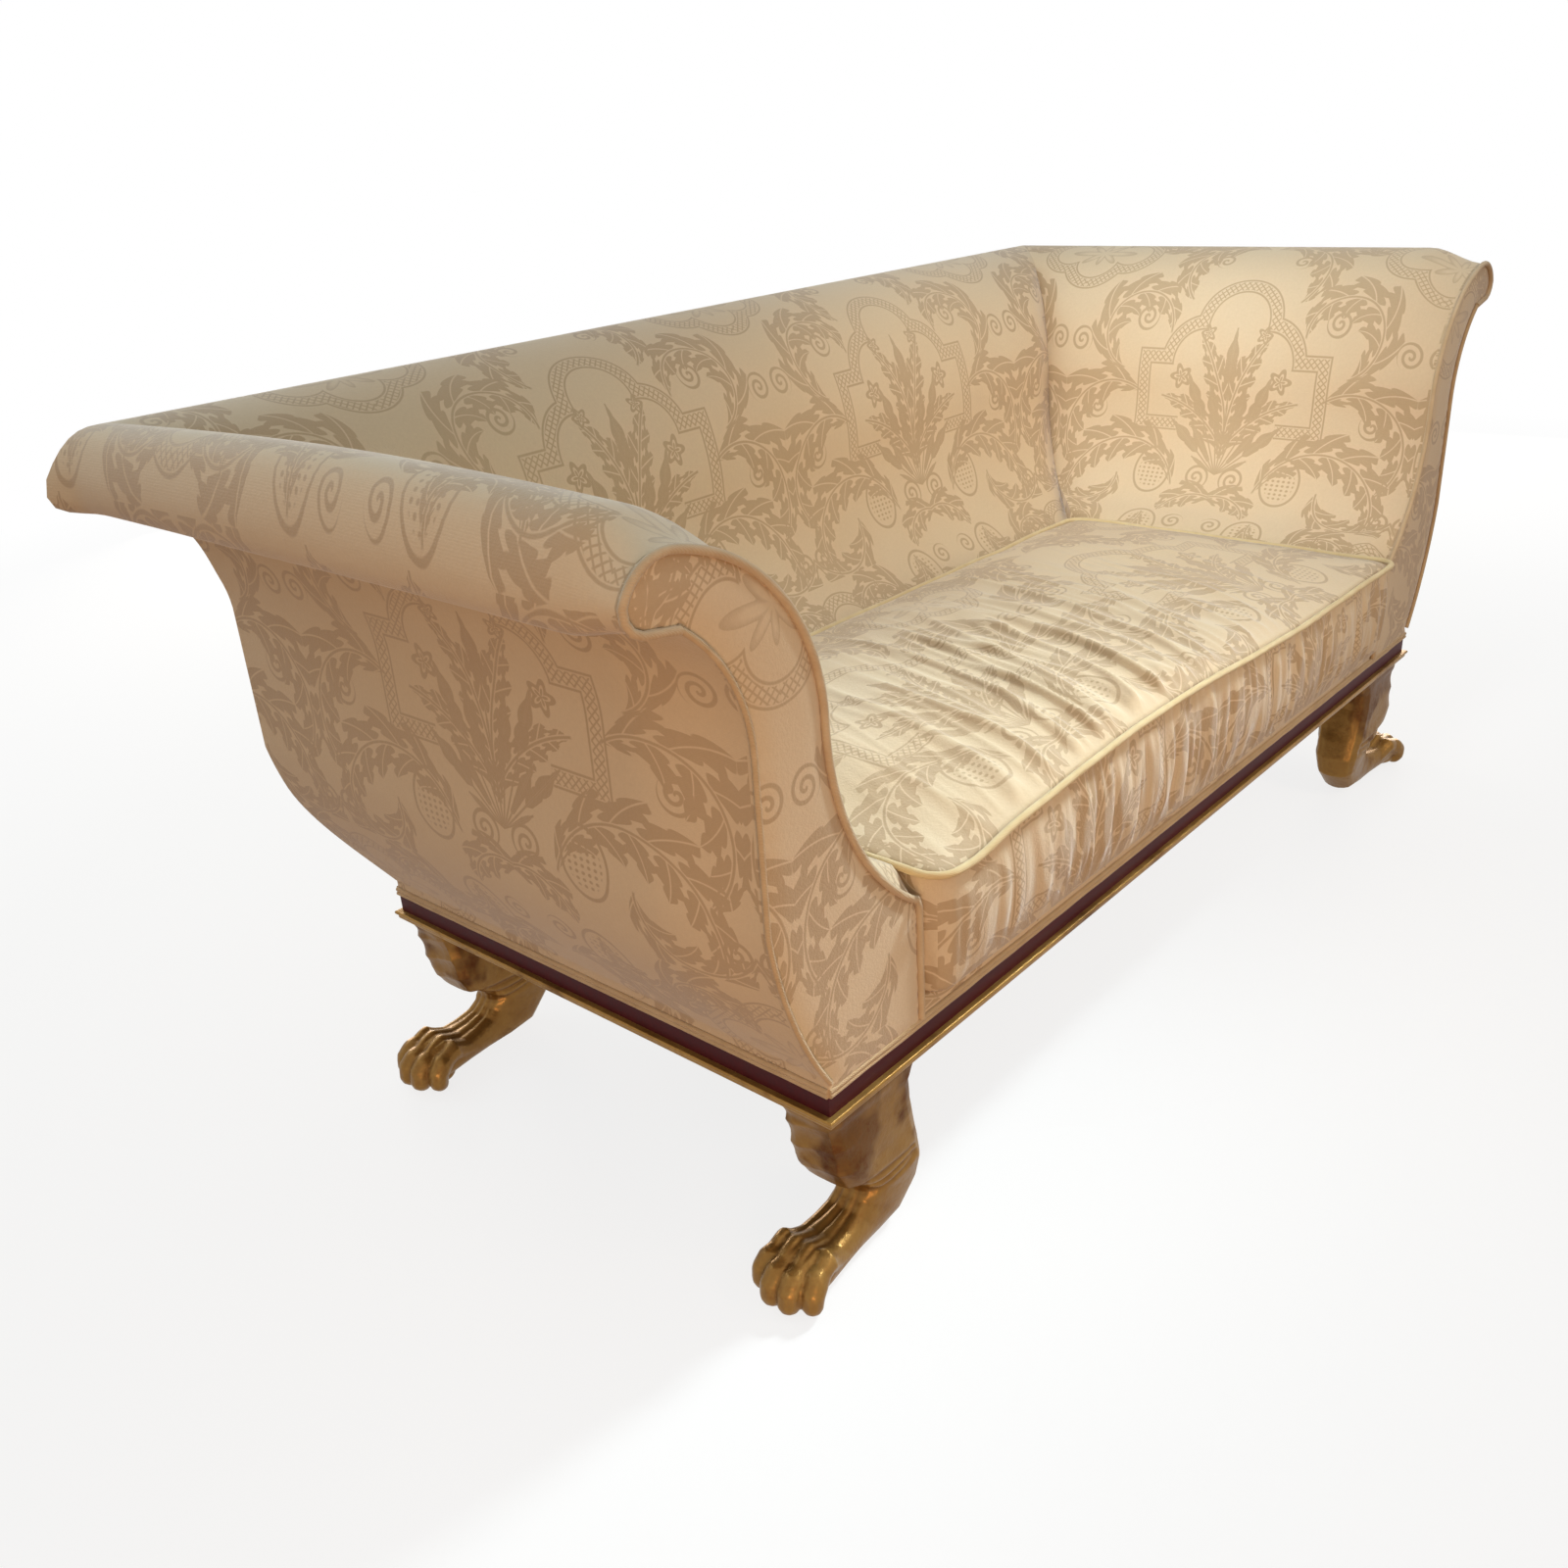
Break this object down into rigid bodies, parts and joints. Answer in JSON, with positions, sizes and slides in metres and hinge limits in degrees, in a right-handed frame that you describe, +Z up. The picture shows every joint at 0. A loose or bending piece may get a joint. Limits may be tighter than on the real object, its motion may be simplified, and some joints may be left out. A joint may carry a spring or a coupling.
{
  "type": "sofa",
  "caption": "Regency sofa with outscrolled arms and back in gold damask, a loose squab cushion, a dark band and gilt lion-paw legs",
  "frame": {"origin": "on the floor, under the middle of the whole sofa's plan", "axes": "X runs along the sofa to its right arm as seen from the front, Y runs from front to back, Z is up"},
  "size_m": [2.0144, 0.9586, 0.884],
  "materials": {
    "beech": "sawn, unfinished",
    "mahogany": "dark polish",
    "giltwood": "burnished gold leaf over red bole",
    "webbing": "jute",
    "damask": "silk damask, tone on tone",
    "piping": "plain silk over cord",
    "bottoming": "black cambric"
  },
  "bodies": {
    "frame": {"seat_rail_front": "beech", "seat_rail_back": "beech", "seat_rail_left": "beech", "seat_rail_right": "beech", "cross_rail_left": "beech", "cross_rail_right": "beech", "corner_blocks": "beech", "leg_dowels": "beech", "back_top_rail": "beech", "back_stay_rails": "beech", "back_post_left": "beech", "back_post_centre": "beech", "back_post_right": "beech", "arm_post_front_left": "beech", "arm_post_back_left": "beech", "arm_top_rail_left": "beech", "arm_stay_rail_left": "beech", "arm_post_front_right": "beech", "arm_post_back_right": "beech", "arm_top_rail_right": "beech", "arm_stay_rail_right": "beech", "band_front": "mahogany", "band_back": "mahogany", "band_left": "mahogany", "band_right": "mahogany", "moulding_front": "giltwood", "moulding_back": "giltwood", "moulding_left": "giltwood", "moulding_right": "giltwood", "leg_front_left": "giltwood", "leg_front_right": "giltwood", "leg_back_left": "giltwood", "leg_back_right": "giltwood", "seat_webbing": "webbing", "arm_webbing_left": "webbing", "arm_webbing_right": "webbing", "back_webbing": "webbing", "seat_platform": "damask", "inside_back": "damask", "outside_back": "damask", "inside_arm_left": "damask", "outside_arm_left": "damask", "arm_facing_left": "damask", "inside_arm_right": "damask", "outside_arm_right": "damask", "arm_facing_right": "damask", "gimp_front": "piping", "gimp_back": "piping", "gimp_left": "piping", "gimp_right": "piping", "arm_piping_left": "piping", "arm_piping_right": "piping", "dust_cover": "bottoming"},
    "cushion": {"seat_cushion": "damask", "cushion_piping": "piping"}
  },
  "joints": [
    {"name": "cushion_lift", "type": "slide", "parent": "frame", "child": "cushion", "axis": [0, 0, 1], "range_m": [0, 0.6]}
  ]
}
